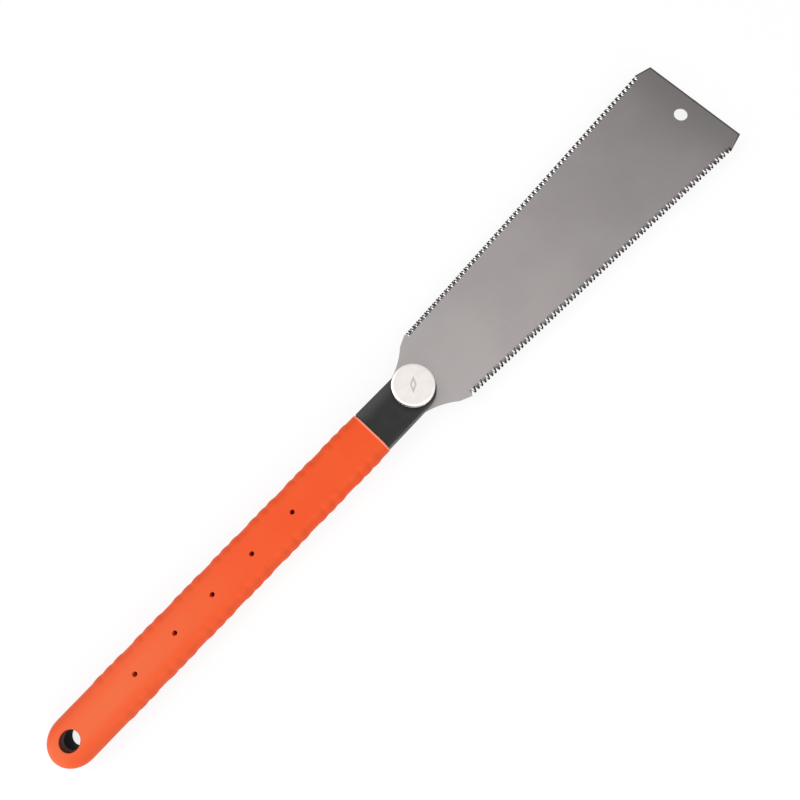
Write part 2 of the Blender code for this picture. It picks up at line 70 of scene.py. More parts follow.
# The core is one black glass-filled nylon moulding: a round-fronted head with a slit for the
# blade and a seat for the nut in its back, and a flat stem inside the grip that ends in an eye
# with a boss round the hanging hole. Its visible faces carry the fine grain of a spark-eroded
# mould. Its colour holds a painted highlight that turns it greyer towards its +Y side, and
# painted shade that darkens the eye round the hanging hole.
HEAD_LOW = 1.5 * MM
HEAD_HIGH = 16.5 * MM
HEAD_EDGE_RADIUS = 2.4 * MM
HEAD_EDGE_STEPS = 8
HEAD_FRONT_STEPS = 72
COLLAR_WIDTH = 29.7 * MM
HEAD_WIDTH = 29.1 * MM
GRIP_FRONT_X = -27.65 * MM
BLADE_Z = 9.0 * MM
FIT = 0.3 * MM
SLIT_HALF = 0.6 * MM
SLIT_BACK_FROM_CLAMP = 8.8 * MM
POCKET_WIDTH = 20.6 * MM
POCKET_BACK_FROM_CLAMP = 34.3 * MM
STUD_BORE_RADIUS = 4.3 * MM
NUT_SEAT_WIDTH = 13.6 * MM
NUT_SEAT_TOP = 6.6 * MM
STEM_WIDTH = 20.0 * MM
STEM_THICKNESS = 6.6 * MM
EYE_RADIUS = 10.0 * MM
EYE_BOSS_RADIUS = 8.2 * MM
HANG_HOLE_RADIUS = 6.0 * MM
EYE_FLARE = 1.4 * MM
HANG_HOLE_FROM_BUTT = 17.0 * MM
BORE_STEPS = 64
ROUND_STEPS = 96
RIM_STEPS = 8
HAIR = 0.01 * MM
PAST = 2.0 * MM
WELD = 0.001 * MM
BLACK = (0.011, 0.0105, 0.0105)
BLACK_WORN = (0.017, 0.0165, 0.0165)
# Painted highlight that makes the core greyer towards its +Y side
BLACK_SIDE_HIGHLIGHT = (0.05, 0.049, 0.049)
SIDE_HIGHLIGHT_SPAN = (4.0 * MM, 14.0 * MM)
# Painted shade inside the eye round the hanging hole
EYE_PAINTED_SHADE = (0.004, 0.0018, 0.0018)
PLASTIC = {"Metallic": 0.0, "Specular IOR Level": 0.35}
NYLON_ROUGHNESS = (0.4, 0.5)

# Low and high values of a noise between which a material changes
MIDDLE = (0.35, 0.65)
WIDE = (0.3, 0.7)


class Value:
    """Output of a node. Arithmetic and comparisons on it are done by Math nodes."""

    def __init__(self, socket):
        self.socket = socket
        self.tree = socket.id_data

    def __add__(self, other):
        return calc("ADD", self, other)

    def __sub__(self, other):
        return calc("SUBTRACT", self, other)

    def __rsub__(self, other):
        return calc("SUBTRACT", other, self)

    def __mul__(self, other):
        return calc("MULTIPLY", self, other)

    def __truediv__(self, other):
        return calc("DIVIDE", self, other)

    def __abs__(self):
        return calc("ABSOLUTE", self)

    def __lt__(self, other):
        return calc("LESS_THAN", self, other)

    def __gt__(self, other):
        return calc("GREATER_THAN", self, other)


def wire(socket, source):
    """Feeds a socket from a value or another socket, or sets it to a constant."""
    source = getattr(source, "socket", source)
    if isinstance(source, bpy.types.NodeSocket):
        socket.id_data.links.new(source, socket)
    else:
        socket.default_value = source


def add_node(tree, kind, feeds=None, **settings):
    node = tree.nodes.new(kind)
    for name, value in settings.items():
        setattr(node, name, value)
    for name, source in (feeds or {}).items():
        wire(node.inputs[name], source)
    return node


def result(tree, kind, feeds=None, output=0, **settings):
    """One output of a new node, by number or name."""
    return Value(add_node(tree, kind, feeds, **settings).outputs[output])


def calc(operation, *sources):
    """Output of a Math node on values or numbers, at least one of them a value."""
    tree = next(source.tree for source in sources if isinstance(source, Value))
    return result(tree, "ShaderNodeMath", dict(enumerate(sources)), operation=operation)


def spread(value, old_low, old_high, new_low=0.0, new_high=1.0):
    """Value moved smoothly from one range to another, and held at its ends."""
    feeds = {
        "Value": value,
        "From Min": old_low,
        "From Max": old_high,
        "To Min": new_low,
        "To Max": new_high,
    }
    return result(value.tree, "ShaderNodeMapRange", feeds, interpolation_type="SMOOTHSTEP")


def axes(vector):
    """X, Y and Z of a vector."""
    parts = add_node(vector.tree, "ShaderNodeSeparateXYZ", {"Vector": vector}).outputs
    return [Value(part) for part in parts]


def object_place(tree):
    return result(tree, "ShaderNodeTexCoord", output="Object")


def object_noise(tree, size, stretch=(1, 1, 1), detail=2.0, place=(0, 0, 0)):
    """Noise in object space: size is the width of its features along an unstretched axis."""
    scale = [1 / (size * share) for share in stretch]
    feeds = {"Vector": object_place(tree), "Scale": scale, "Location": place}
    mapped = result(tree, "ShaderNodeMapping", feeds)
    feeds = {"Vector": mapped, "Scale": 1.0, "Detail": detail}
    return result(tree, "ShaderNodeTexNoise", feeds, "Fac")


def axis_distance(tree, axis_x):
    """Distance from the upright axis through (axis_x, 0)."""
    feeds = {"Vector": object_place(tree), "Location": (-axis_x, 0, 0), "Scale": (1, 1, 0)}
    level = result(tree, "ShaderNodeMapping", feeds)
    return result(tree, "ShaderNodeVectorMath", {0: level}, "Value", operation="LENGTH")


def blend_colours(factor, first, second):
    """Colour between two colours, each a triple or a value."""
    feeds = {0: factor}
    for number, colour in ((6, first), (7, second)):
        feeds[number] = (*colour, 1.0) if isinstance(colour, tuple) else colour
    return result(factor.tree, "ShaderNodeMix", feeds, 2, data_type="RGBA")


def add_bump(height, depth, under=None):
    """Bump whose full height is `depth`, over another bump if one is given."""
    feeds = {"Height": height, "Distance": depth, "Strength": 1.0}
    if under:
        feeds["Normal"] = under
    return result(height.tree, "ShaderNodeBump", feeds)


def new_material(name, constants):
    """Material and its tree, with constants on named sockets of the shader."""
    material = bpy.data.materials.new(name)
    material.use_nodes = True
    shader = material.node_tree.nodes["Principled BSDF"]
    for label, value in constants.items():
        shader.inputs[label].default_value = value
    return material, material.node_tree


def finish_material(material, colour, roughness, normal):
    shader = material.node_tree.nodes["Principled BSDF"]
    wire(shader.inputs["Base Color"], colour)
    wire(shader.inputs["Roughness"], roughness)
    wire(shader.inputs["Normal"], normal)
    return material


def black_nylon():
    material, tree = new_material("black_nylon", PLASTIC)
    _, y, _ = axes(object_place(tree))
    grain = object_noise(tree, 0.28 * MM, detail=3.0)
    handling = object_noise(tree, 9.0 * MM, detail=4.0)
    scuffs = object_noise(tree, 0.5 * MM, stretch=(14, 1, 1), place=(3, 1, 2))
    colour = blend_colours(spread(handling, 0.4, 0.7), BLACK, BLACK_WORN)
    # Painted highlight: greyer towards the +Y side.
    colour = blend_colours(spread(y, *SIDE_HIGHLIGHT_SPAN), colour, BLACK_SIDE_HIGHLIGHT)
    # Painted shade: darker inside the eye round the hanging hole, which is also rougher.
    in_eye = axis_distance(tree, hang_hole_x) < EYE_RADIUS
    colour = blend_colours(in_eye, colour, EYE_PAINTED_SHADE)
    roughness = spread(handling, *WIDE, *NYLON_ROUGHNESS) + spread(grain, *WIDE, 0.0, 0.08)
    roughness = calc("MULTIPLY_ADD", in_eye, 0.4, roughness)
    normal = add_bump(scuffs, 0.006 * MM, add_bump(grain, 0.02 * MM))
    return finish_material(material, colour, roughness, normal)


def new_piece(name, mesh, *materials):
    piece = bpy.data.objects.new(name, mesh)
    bpy.context.scene.collection.objects.link(piece)
    for material in materials:
        mesh.materials.append(material)
    return piece


def plain_mesh(bm, name):
    mesh = bpy.data.meshes.new(name)
    bm.to_mesh(mesh)
    bm.free()
    return mesh


def mesh_from(bm, name):
    """Mesh with its faces turned outwards."""
    bmesh.ops.recalc_face_normals(bm, faces=bm.faces)
    return plain_mesh(bm, name)


def prism(name, outline, low, high):
    """Closed mesh of a flat outline drawn up from one height to another."""
    bm = bmesh.new()
    bottom = bm.faces.new([bm.verts.new((x, y, low)) for x, y in outline])
    top = bmesh.ops.extrude_face_region(bm, geom=[bottom])["geom"]
    moved = [item for item in top if isinstance(item, bmesh.types.BMVert)]
    bmesh.ops.translate(bm, verts=moved, vec=(0, 0, high - low))
    return mesh_from(bm, name)


def rectangle(x_low, x_high, half_width):
    return [(x_low, -half_width), (x_high, -half_width), (x_high, half_width), (x_low, half_width)]


def arc(centre_x, radius, start, end, steps):
    """Points on an arc about (centre_x, 0), with angles in degrees."""
    points = []
    for i in range(steps + 1):
        angle = math.radians(start + (end - start) * i / steps)
        points.append((centre_x + radius * math.cos(angle), radius * math.sin(angle)))
    return points


def circle(centre_x, radius, steps):
    return arc(centre_x, radius, 0, 360, steps)[:-1]


def turned(name, profile, steps, centre_x, ring=False):
    """Mesh of (radius, z) points turned about a vertical axis, closed on the axis or as a ring."""
    bm = bmesh.new()
    points = profile + profile[:1] if ring else profile
    verts = [bm.verts.new((radius, 0, z)) for radius, z in points]
    edges = [bm.edges.new(pair) for pair in zip(verts, verts[1:])]
    bmesh.ops.spin(
        bm, geom=verts + edges, cent=(0, 0, 0), axis=(0, 0, 1), angle=math.tau, steps=steps
    )
    bmesh.ops.remove_doubles(bm, verts=bm.verts, dist=WELD)
    bmesh.ops.dissolve_degenerate(bm, edges=bm.edges, dist=WELD)
    bmesh.ops.translate(bm, verts=bm.verts, vec=(centre_x, 0, 0))
    return mesh_from(bm, name)


def flared_bore(radius, flare, low, high, steps):
    """Profile of a bore down from a face, opening into a rounded rim just below it."""
    brink = high - HAIR
    profile = [(0, high + PAST), (radius + flare, high + PAST)]
    for i in range(steps + 1):
        angle = math.pi / 2 * i / steps
        widening = flare * (1 - math.sin(angle))
        profile.append((radius + widening, brink - flare * (1 - math.cos(angle))))
    return profile + [(radius, low)]


def cut(piece, mesh, operation="DIFFERENCE"):
    """Boolean with a mesh, applied at once."""
    tool = bpy.data.objects.new(mesh.name, mesh)
    bpy.context.scene.collection.objects.link(tool)
    modifier = piece.modifiers.new(mesh.name, "BOOLEAN")
    modifier.operation = operation
    modifier.object = tool
    settle(piece)
    bpy.data.objects.remove(tool)
    bpy.data.meshes.remove(mesh)


def settle(piece):
    """Turns a piece's modifiers into plain mesh."""
    graph = bpy.context.evaluated_depsgraph_get()
    mesh = bpy.data.meshes.new_from_object(piece.evaluated_get(graph), depsgraph=graph)
    piece.modifiers.clear()
    piece.data = mesh
    mesh.name = piece.name


def shade(piece, sharp_degrees):
    piece.data.shade_smooth()
    piece.data.set_sharp_from_angle(angle=math.radians(sharp_degrees))


def hand_over(piece, body, slot, *nodes):
    """Puts a finished piece on its body and hides the solids it stands for; its material slot is
    not used.
    """
    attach(piece, body)
    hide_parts(*nodes)


def head_outline():
    back = GRIP_FRONT_X + FIT
    front = arc(clamp_x, HEAD_WIDTH / 2, -90, 90, HEAD_FRONT_STEPS)
    return [(back, COLLAR_WIDTH / 2), (back, -COLLAR_WIDTH / 2)] + front


def round_edges(bm, edges, radius, steps):
    bmesh.ops.bevel(bm, geom=edges, offset=radius, segments=steps, profile=0.5, affect="EDGES")


def rounded_head():
    """Head with its upper and lower rims rounded, apart from the end that meets the grip."""
    mesh = prism("head", head_outline(), HEAD_LOW, HEAD_HIGH)
    bm = bmesh.new()
    bm.from_mesh(mesh)
    bpy.data.meshes.remove(mesh)
    rims = []
    for edge in bm.edges:
        level = edge.verts[0].co.z == edge.verts[1].co.z
        if level and max(vert.co.x for vert in edge.verts) > GRIP_FRONT_X + 2 * FIT:
            rims.append(edge)
    round_edges(bm, rims, HEAD_EDGE_RADIUS, HEAD_EDGE_STEPS)
    return mesh_from(bm, "head")


def stem_outline(spare):
    half = STEM_WIDTH / 2 + spare
    eye = arc(hang_hole_x, EYE_RADIUS + spare, 90, 270, BORE_STEPS)
    front = GRIP_FRONT_X + PAST
    return [(front, half)] + eye + [(front, -half)]


clamp_low, clamp_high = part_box("clamp_knob")
clamp_x = (clamp_low.x + clamp_high.x) / 2
grip_low, grip_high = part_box("grip")
hang_hole_x = grip_low.x + HANG_HOLE_FROM_BUTT

core = new_piece("core_moulding", rounded_head(), black_nylon())
stem_half = STEM_THICKNESS / 2
cut(core, prism("stem", stem_outline(0.0), BLADE_Z - stem_half, BLADE_Z + stem_half), "UNION")
slit = rectangle(clamp_x - SLIT_BACK_FROM_CLAMP, clamp_x + HEAD_WIDTH, HEAD_WIDTH)
pocket = rectangle(clamp_x - POCKET_BACK_FROM_CLAMP, clamp_x, POCKET_WIDTH / 2)
for opening in (slit, pocket):
    cut(core, prism("opening", opening, BLADE_Z - SLIT_HALF, BLADE_Z + SLIT_HALF))
bore = circle(clamp_x, STUD_BORE_RADIUS, BORE_STEPS)
cut(core, prism("stud_bore", bore, HEAD_LOW - PAST, HEAD_HIGH + PAST))
seat = rectangle(clamp_x - NUT_SEAT_WIDTH / 2, clamp_x + NUT_SEAT_WIDTH / 2, NUT_SEAT_WIDTH / 2)
cut(core, prism("nut_seat", seat, HEAD_LOW - PAST, NUT_SEAT_TOP))
boss = circle(hang_hole_x, EYE_BOSS_RADIUS, ROUND_STEPS)
cut(core, prism("eye_boss", boss, HEAD_LOW, BLADE_Z), "UNION")
eye = flared_bore(HANG_HOLE_RADIUS, EYE_FLARE, -2 * BLADE_Z, -HEAD_LOW, RIM_STEPS)
eye = [(radius, -z) for radius, z in eye] + [(0, 2 * BLADE_Z)]
cut(core, turned("eye", eye, ROUND_STEPS, hang_hole_x))
shade(core, 35)
hand_over(core, "handle", "black_plastic", "handle_core")

# The grip is a soft orange elastomer sleeve moulded over the stem. It has a flat band along each
# face, full round sides with low ribs in groups of three, a round butt with a hole to hang the
# saw by, and five small holes where pins held the stem in the mould.
GRIP_BUTT_HALF = 15.4 * MM
GRIP_FRONT_HALF = 15.9 * MM
GRIP_HALF_HEIGHT = 9.0 * MM
LAND_SHARE = 16.0 / 31.8
LIP_RADIUS = 0.8 * MM
LIP_STEPS = 6
BODY_STEP = 0.55 * MM
BUTT_STEPS = 64
SIDE_STEPS = 14
LAND_STEPS = 6
RIB_PITCH = 7.9 * MM
RIBS_IN_GROUP = 3
RIBS_FROM_FRONT = 19.6 * MM
RIB_GROUPS = 7
RIB_HEIGHT = 0.5 * MM
RIB_FADE = (0.05, 0.8)
HANG_HOLE_RIM = 0.9 * MM
PIN_HOLE_RADIUS = 1.5 * MM
PIN_HOLE_EDGE = 0.25 * MM
PIN_HOLE_STEPS = 32
EDGE_STEPS = 3
PIN_HOLES_FROM_FRONT = (69.0 * MM, 103.1 * MM, 135.7 * MM, 165.9 * MM, 197.5 * MM)
ORANGE = (0.8, 0.07, 0.002)
ORANGE_PALE = (0.8, 0.08, 0.005)
# Painted sheen: paler orange towards the butt
ORANGE_SHEEN = (0.78, 0.115, 0.025)
SHEEN_ALONG = (-110.0 * MM, -245.0 * MM)
SHEEN_ACROSS = (11.0 * MM, 3.0 * MM)
# Painted highlight along the rounded front lip of the grip
ORANGE_LIP_HIGHLIGHT = (0.95, 0.36, 0.23)
LIP_HIGHLIGHT_DEPTH = (1.7 * MM, 1.0 * MM)
# Painted shade down the wall of the hanging hole
BORE_PAINTED_SHADE = (0.12, 0.004, 0.003)
BORE_SHADE_RADII = (6.65 * MM, 6.1 * MM)
ELASTOMER_ROUGHNESS = (0.46, 0.54)


def orange_elastomer():
    material, tree = new_material("orange_elastomer", PLASTIC)
    x, y, _ = axes(object_place(tree))
    # Painted highlight: paler along the rounded front lip.
    lip = spread(grip_high.x - x, *LIP_HIGHLIGHT_DEPTH, 0.0, 0.8)
    # Painted sheen: paler towards the butt, most along the middle of each face.
    sheen = spread(x, *SHEEN_ALONG) * spread(abs(y), *SHEEN_ACROSS, 0.25, 1.0)
    # Painted shade: dark red down the wall of the hanging hole.
    bore_shade = spread(axis_distance(tree, hang_hole_x), *BORE_SHADE_RADII)
    grain = object_noise(tree, 0.3 * MM, detail=3.0)
    cloud = object_noise(tree, 22 * MM, detail=3.0)
    rubbed = object_noise(tree, 0.9 * MM, stretch=(9, 1, 1), detail=3.0, place=(5, 2, 1))
    colour = blend_colours(spread(cloud, *MIDDLE), ORANGE, ORANGE_PALE)
    for factor, tone in ((sheen, ORANGE_SHEEN), (lip, ORANGE_LIP_HIGHLIGHT), (bore_shade, BORE_PAINTED_SHADE)):
        colour = blend_colours(factor, colour, tone)
    roughness = spread(cloud, *WIDE, *ELASTOMER_ROUGHNESS) + spread(grain, *WIDE, 0.0, 0.1)
    normal = add_bump(rubbed, 0.006 * MM, add_bump(grain, 0.025 * MM))
    return finish_material(material, colour, roughness, normal)


def run_tree(piece, build, **values):
    """Runs Geometry Nodes on a piece, and keeps the plain mesh.

    build(tree, size) makes the nodes, with `size` the tree's inputs by name: "Mesh" and one for
    each of the values, which may be numbers, vectors, objects or materials.
    """
    tree = bpy.data.node_groups.new(build.__name__, "GeometryNodeTree")
    for way in ("INPUT", "OUTPUT"):
        tree.interface.new_socket("Mesh", in_out=way, socket_type="NodeSocketGeometry")
    settings = {}
    for name, value in values.items():
        kind = "Vector" if isinstance(value, tuple) else type(value).__name__.capitalize()
        item = tree.interface.new_socket(name, in_out="INPUT", socket_type="NodeSocket" + kind)
        settings[item.identifier] = value
    inputs = add_node(tree, "NodeGroupInput").outputs
    build(tree, {socket.name: Value(socket) for socket in inputs})
    modifier = piece.modifiers.new(tree.name, "NODES")
    modifier.node_group = tree
    for identifier, value in settings.items():
        modifier[identifier] = value
    settle(piece)


def end_tree(tree, mesh, *finishes):
    """Makes instances real and gives faces their materials, each (material input, selection)."""
    mesh = result(tree, "GeometryNodeRealizeInstances", {"Geometry": mesh})
    for material, selection in finishes:
        feeds = {"Geometry": mesh, "Material": material, "Selection": selection}
        mesh = result(tree, "GeometryNodeSetMaterial", feeds)
    add_node(tree, "NodeGroupOutput", {0: mesh})


def side_ribs(tree, size):
    """Swells the sides of the sleeve into groups of low arched ribs that die out on its faces."""
    x, _, _ = axes(result(tree, "GeometryNodeInputPosition"))
    normal = result(tree, "GeometryNodeInputNormal")
    _, facing, _ = axes(normal)
    period = (size["Ribs"] + 1.0) * size["Pitch"]
    behind = size["Front"] - x - size["First"]
    group = calc("MAXIMUM", calc("ROUND", behind / period), 0.0)
    group = calc("MINIMUM", group, size["Groups"] - 1.0)
    turns = (behind - group * period) / size["Pitch"]
    arch = abs(calc("COSINE", turns * math.pi))
    inside = abs(turns) < size["Ribs"] * 0.5
    swell = arch * inside * spread(abs(facing), *RIB_FADE) * size["Height"]
    feeds = {"Vector": normal, "Scale": swell}
    shift = result(tree, "ShaderNodeVectorMath", feeds, operation="SCALE")
    moved = result(tree, "GeometryNodeSetPosition", {"Geometry": size["Mesh"], "Offset": shift})
    end_tree(tree, moved, (size["Finish"], True))


def grip_half(x):
    share = (grip_high.x - x) / (grip_high.x - grip_low.x)
    return GRIP_FRONT_HALF * (1 - share) + GRIP_BUTT_HALF * share


def grip_sections():
    """(x, half width, half height) from the front lip to where the butt rounds off."""
    sections = []
    for i in range(LIP_STEPS + 1):
        angle = math.pi / 2 * i / LIP_STEPS
        inset = LIP_RADIUS * (1 - math.sin(angle))
        x = grip_high.x - LIP_RADIUS * (1 - math.cos(angle))
        sections.append((x, grip_half(x) - inset, GRIP_HALF_HEIGHT - inset))
    start = grip_high.x - LIP_RADIUS
    end = grip_low.x + GRIP_BUTT_HALF
    count = round((start - end) / BODY_STEP)
    for i in range(1, count):
        x = start + (end - start) * i / count
        sections.append((x, grip_half(x), GRIP_HALF_HEIGHT))
    return sections + [(end, GRIP_BUTT_HALF, GRIP_HALF_HEIGHT)]


def section_points(half_width, half_height):
    """One section as (y, z): flat lands above and below, joined by elliptic sides."""
    land = half_width * LAND_SHARE
    points = [(land * (2 * i / LAND_STEPS - 1), half_height) for i in range(LAND_STEPS)]
    for i in range(2 * SIDE_STEPS):
        angle = math.pi / 2 * i / SIDE_STEPS
        y = land + (half_width - land) * math.sin(angle)
        points.append((y, half_height * math.cos(angle)))
    return points + [(-y, -z) for y, z in points]


def close_butt(bm, last):
    """Turns the right half of the last section half way round, to its left half, as the butt."""
    top, half = LAND_STEPS // 2, len(last) // 2
    steps = [last[top : top + half + 1]]
    centre = grip_low.x + GRIP_BUTT_HALF
    for i in range(1, BUTT_STEPS):
        across, back = math.cos(math.pi * i / BUTT_STEPS), math.sin(math.pi * i / BUTT_STEPS)
        step = [last[top]]
        for vert in steps[0][1:-1]:
            place = (centre - vert.co.y * back, vert.co.y * across, vert.co.z)
            step.append(bm.verts.new(place))
        steps.append(step + [last[top + half]])
    steps.append([last[top - i] for i in range(half + 1)])
    for near, far in zip(steps, steps[1:]):
        for i in range(half):
            corners = dict.fromkeys((near[i], near[i + 1], far[i + 1], far[i]))
            bm.faces.new(list(corners))


def sleeve():
    bm = bmesh.new()
    rings = []
    for x, half_width, half_height in grip_sections():
        points = section_points(half_width, half_height)
        rings.append([bm.verts.new((x, y, BLADE_Z + z)) for y, z in points])
    for near, far in zip(rings, rings[1:]):
        for i in range(len(near)):
            j = (i + 1) % len(near)
            bm.faces.new((near[i], near[j], far[j], far[i]))
    bm.faces.new(rings[0])
    close_butt(bm, rings[-1])
    return mesh_from(bm, "sleeve")


grip = new_piece("grip_sleeve", sleeve())
run_tree(
    grip,
    side_ribs,
    Front=grip_high.x,
    First=RIBS_FROM_FRONT,
    Pitch=RIB_PITCH,
    Ribs=float(RIBS_IN_GROUP),
    Groups=float(RIB_GROUPS),
    Height=RIB_HEIGHT,
    Finish=orange_elastomer(),
)
room_half = stem_half + FIT
cut(grip, prism("stem_room", stem_outline(FIT), BLADE_Z - room_half, BLADE_Z + room_half))
hole = flared_bore(HANG_HOLE_RADIUS, HANG_HOLE_RIM, BLADE_Z, grip_high.z, RIM_STEPS)
back = flared_bore(EYE_BOSS_RADIUS + FIT, HANG_HOLE_RIM, BLADE_Z, grip_high.z, RIM_STEPS)
hole += [(radius, 2 * BLADE_Z - z) for radius, z in reversed(back)]
cut(grip, turned("hang_hole", hole, ROUND_STEPS, hang_hole_x))
pin_hole = flared_bore(PIN_HOLE_RADIUS, PIN_HOLE_EDGE, BLADE_Z, grip_high.z, EDGE_STEPS)
for distance in PIN_HOLES_FROM_FRONT:
    place = grip_high.x - distance
    cut(grip, turned("pin_hole", pin_hole + [(0, BLADE_Z)], PIN_HOLE_STEPS, place))
shade(grip, 40)
hand_over(grip, "handle", "orange_rubber", "grip")

# The blade is a flat tapered plate of spring steel, ground satin along its length. Both long edges
# are toothed: each tooth is ground on both flanks and on its top from one face, its neighbour
# from the other, and its tip is bent out past the far face so that the cut clears the plate.
BLADE_HALF = 0.3 * MM
CUTTING_LENGTH = 248.0 * MM
HEEL_FROM_CLAMP = 22.8 * MM
HEEL_HALF = 29.75 * MM
TAPER = 0.0517
TOE_HALF = 39.0 * MM
TOE_CHAMFER_LENGTH = 11.5 * MM
TOE_HOLE_RADIUS = 4.65 * MM
TOE_HOLE_FROM_TOE = 15.0 * MM
NECK_RADIUS = 52.0 * MM
NECK_CORNER = (14.8 * MM, 26.15 * MM)
NECK_STEPS = 40
SHOULDER = (-8.5 * MM, 14.55 * MM)
TANG_HALF = 10.0 * MM
TANG_END_FROM_CLAMP = 34.0 * MM
TANG_CORNER = 1.5 * MM
TANG_SLOT_STEPS = 32
BAND = 1.2 * MM
TOOTH_SET = 0.17 * MM
TOOTH_WELD = 0.002 * MM
GULLET_ROUND = 0.16 * MM
RIDGE_CUT = 1.6
RIDGE_CUT_MOST = 0.9
CROSSCUT = {
    "side": 1,
    "pitch": 2.0 * MM,
    "depth": 3.5 * MM,
    "lean": 0.05 * MM,
    "top": 1.05 * MM,
    "drop": 0.3 * MM,
    "slant": 0.9 * MM,
    "bloom": (1.9 * MM, 3.6 * MM),
    "scorch": (1.0 * MM, 1.8 * MM),
}
RIP = {
    "side": -1,
    "pitch": 3.03 * MM,
    "depth": 4.4 * MM,
    "lean": 0.15 * MM,
    "top": 1.25 * MM,
    "drop": 0.35 * MM,
    "slant": 1.1 * MM,
    "bloom": (1.0 * MM, 4.9 * MM),
    "scorch": (1.1 * MM, 2.1 * MM),
}
STEEL = (0.425, 0.4, 0.395)
STEEL_PALE = (0.465, 0.44, 0.432)
STEEL_ROUGHNESS = (0.25, 0.31)
# Painted shade along the toe end and its chamfers
TOE_EDGE_SHADE = (0.12, 0.11, 0.11)
TOE_EDGE_SHADE_SPAN = (1.5 * MM, 0.9 * MM)
# Painted shade that darkens the plate towards the toe
TOE_SHADE = 0.82
TOE_SHADE_LENGTH = 45.0 * MM
# Heat bloom at the tooth tips, also used as painted shade along the flanks' cutting edges
BLOOM_AND_EDGE_SHADE = (0.03, 0.026, 0.029)
BLOOM_PATCHES = (-0.3 * MM, 0.3 * MM)
# Shaded copy of the flank steel: painted shade on the toe-side flanks and top facets
SHADED_FLANK_STEEL = (0.04, 0.037, 0.04)
SHADED_FLANK_STEEL_PALE = (0.09, 0.086, 0.09)
# Lit copy of the flank steel: painted highlight on the heel-side flanks
LIT_FLANK_STEEL = (0.84, 0.82, 0.82)
LIT_FLANK_STEEL_PALE = (0.97, 0.95, 0.95)
FLANK_ROUGHNESS = (0.24, 0.36)
METAL = {"Metallic": 1.0}


def tip_shade(tree, kind):
    """Dark heat marks on the teeth: 1 on the tips, and 0 deeper than a row's limits of a kind."""
    x, y, _ = axes(object_place(tree))
    edge = calc("MULTIPLY_ADD", x, TAPER, HEEL_HALF - TAPER * heel_x)
    inside = edge - abs(y) + spread(object_noise(tree, 1.1 * MM), *WIDE, *BLOOM_PATCHES)
    is_crosscut = y > 0.0
    limits = []
    for rip, crosscut in zip(RIP[kind], CROSSCUT[kind]):
        limits.append(calc("MULTIPLY_ADD", is_crosscut, crosscut - rip, rip))
    toothed = (x > heel_x + MM) * (x < heel_x + CUTTING_LENGTH - MM)
    return spread(inside, *limits, 1.0, 0.0) * toothed


def toe_tone(tree, colour):
    """Plate colour with painted shade: a little darker towards the toe, and a dark line along its
    toe edges.
    """
    x, y, _ = axes(object_place(tree))
    to_toe = toe_x - x
    shaded_toe = tuple(tone * TOE_SHADE for tone in STEEL)
    colour = blend_colours(spread(to_toe, TOE_SHADE_LENGTH, 0.0), colour, shaded_toe)
    slope = (edge_line(heel_x + CUTTING_LENGTH) - TOE_HALF) / TOE_CHAMFER_LENGTH
    to_chamfer = calc("MULTIPLY_ADD", to_toe, slope, TOE_HALF) - abs(y)
    to_edge = calc("MINIMUM", to_toe, to_chamfer)
    # Painted shade: a dark line along the toe end and its chamfers.
    return blend_colours(spread(to_edge, *TOE_EDGE_SHADE_SPAN, 0.0, 0.85), colour, TOE_EDGE_SHADE)


def blade_steel():
    material, tree = new_material("blade_steel", {**METAL, "Anisotropic": 0.3})
    lines = object_noise(tree, 0.07 * MM, stretch=(260, 1, 1), detail=3.0)
    broad = object_noise(tree, 0.9 * MM, stretch=(60, 1, 1), detail=3.0, place=(1, 4, 2))
    tone = lines * 0.4 + object_noise(tree, 40 * MM) * 0.6
    colour = toe_tone(tree, blend_colours(spread(tone, *MIDDLE), STEEL, STEEL_PALE))
    colour = blend_colours(tip_shade(tree, "bloom") * 0.9, colour, BLOOM_AND_EDGE_SHADE)
    roughness = spread(broad, *WIDE, *STEEL_ROUGHNESS) + spread(lines, *WIDE, 0.0, 0.08)
    return finish_material(material, colour, roughness, add_bump(lines, 0.0012 * MM))


def flank_steel(name, first, second):
    """Flanks of the teeth, ground across the plate, with dark heat marks at the tips and painted
    shade along the cutting edges.
    """
    material, tree = new_material(name, METAL)
    lines = object_noise(tree, 0.06 * MM, stretch=(1, 1, 12))
    colour = blend_colours(spread(lines, *MIDDLE), first, second)
    # Painted shade: a dark line along the cutting edge, where the flank meets the far face.
    nearness = result(tree, "ShaderNodeAttribute", output="Fac", attribute_name="cutting_edge")
    dark = calc("MAXIMUM", spread(nearness, 0.6, 0.8, 0.0, 0.9), tip_shade(tree, "scorch"))
    colour = blend_colours(dark, colour, BLOOM_AND_EDGE_SHADE)
    roughness = spread(lines, *WIDE, *FLANK_ROUGHNESS)
    return finish_material(material, colour, roughness, add_bump(lines, 0.004 * MM))


def edge_line(x):
    """Distance of the tooth tips from the middle of the blade."""
    return HEEL_HALF + TAPER * (x - heel_x)


def first_root(row):
    """Number of teeth in a row, and its first gullet's place along the edge."""
    teeth = int(CUTTING_LENGTH / row["pitch"] + 0.01) - 1
    return teeth, heel_x + (CUTTING_LENGTH - teeth * row["pitch"]) / 2


def crossing(first, second):
    """Point where two lines, each through two points, meet."""
    a = first[1] - first[0]
    b = second[1] - second[0]
    return first[0] + a * ((second[0] - first[0]).cross(b) / a.cross(b))


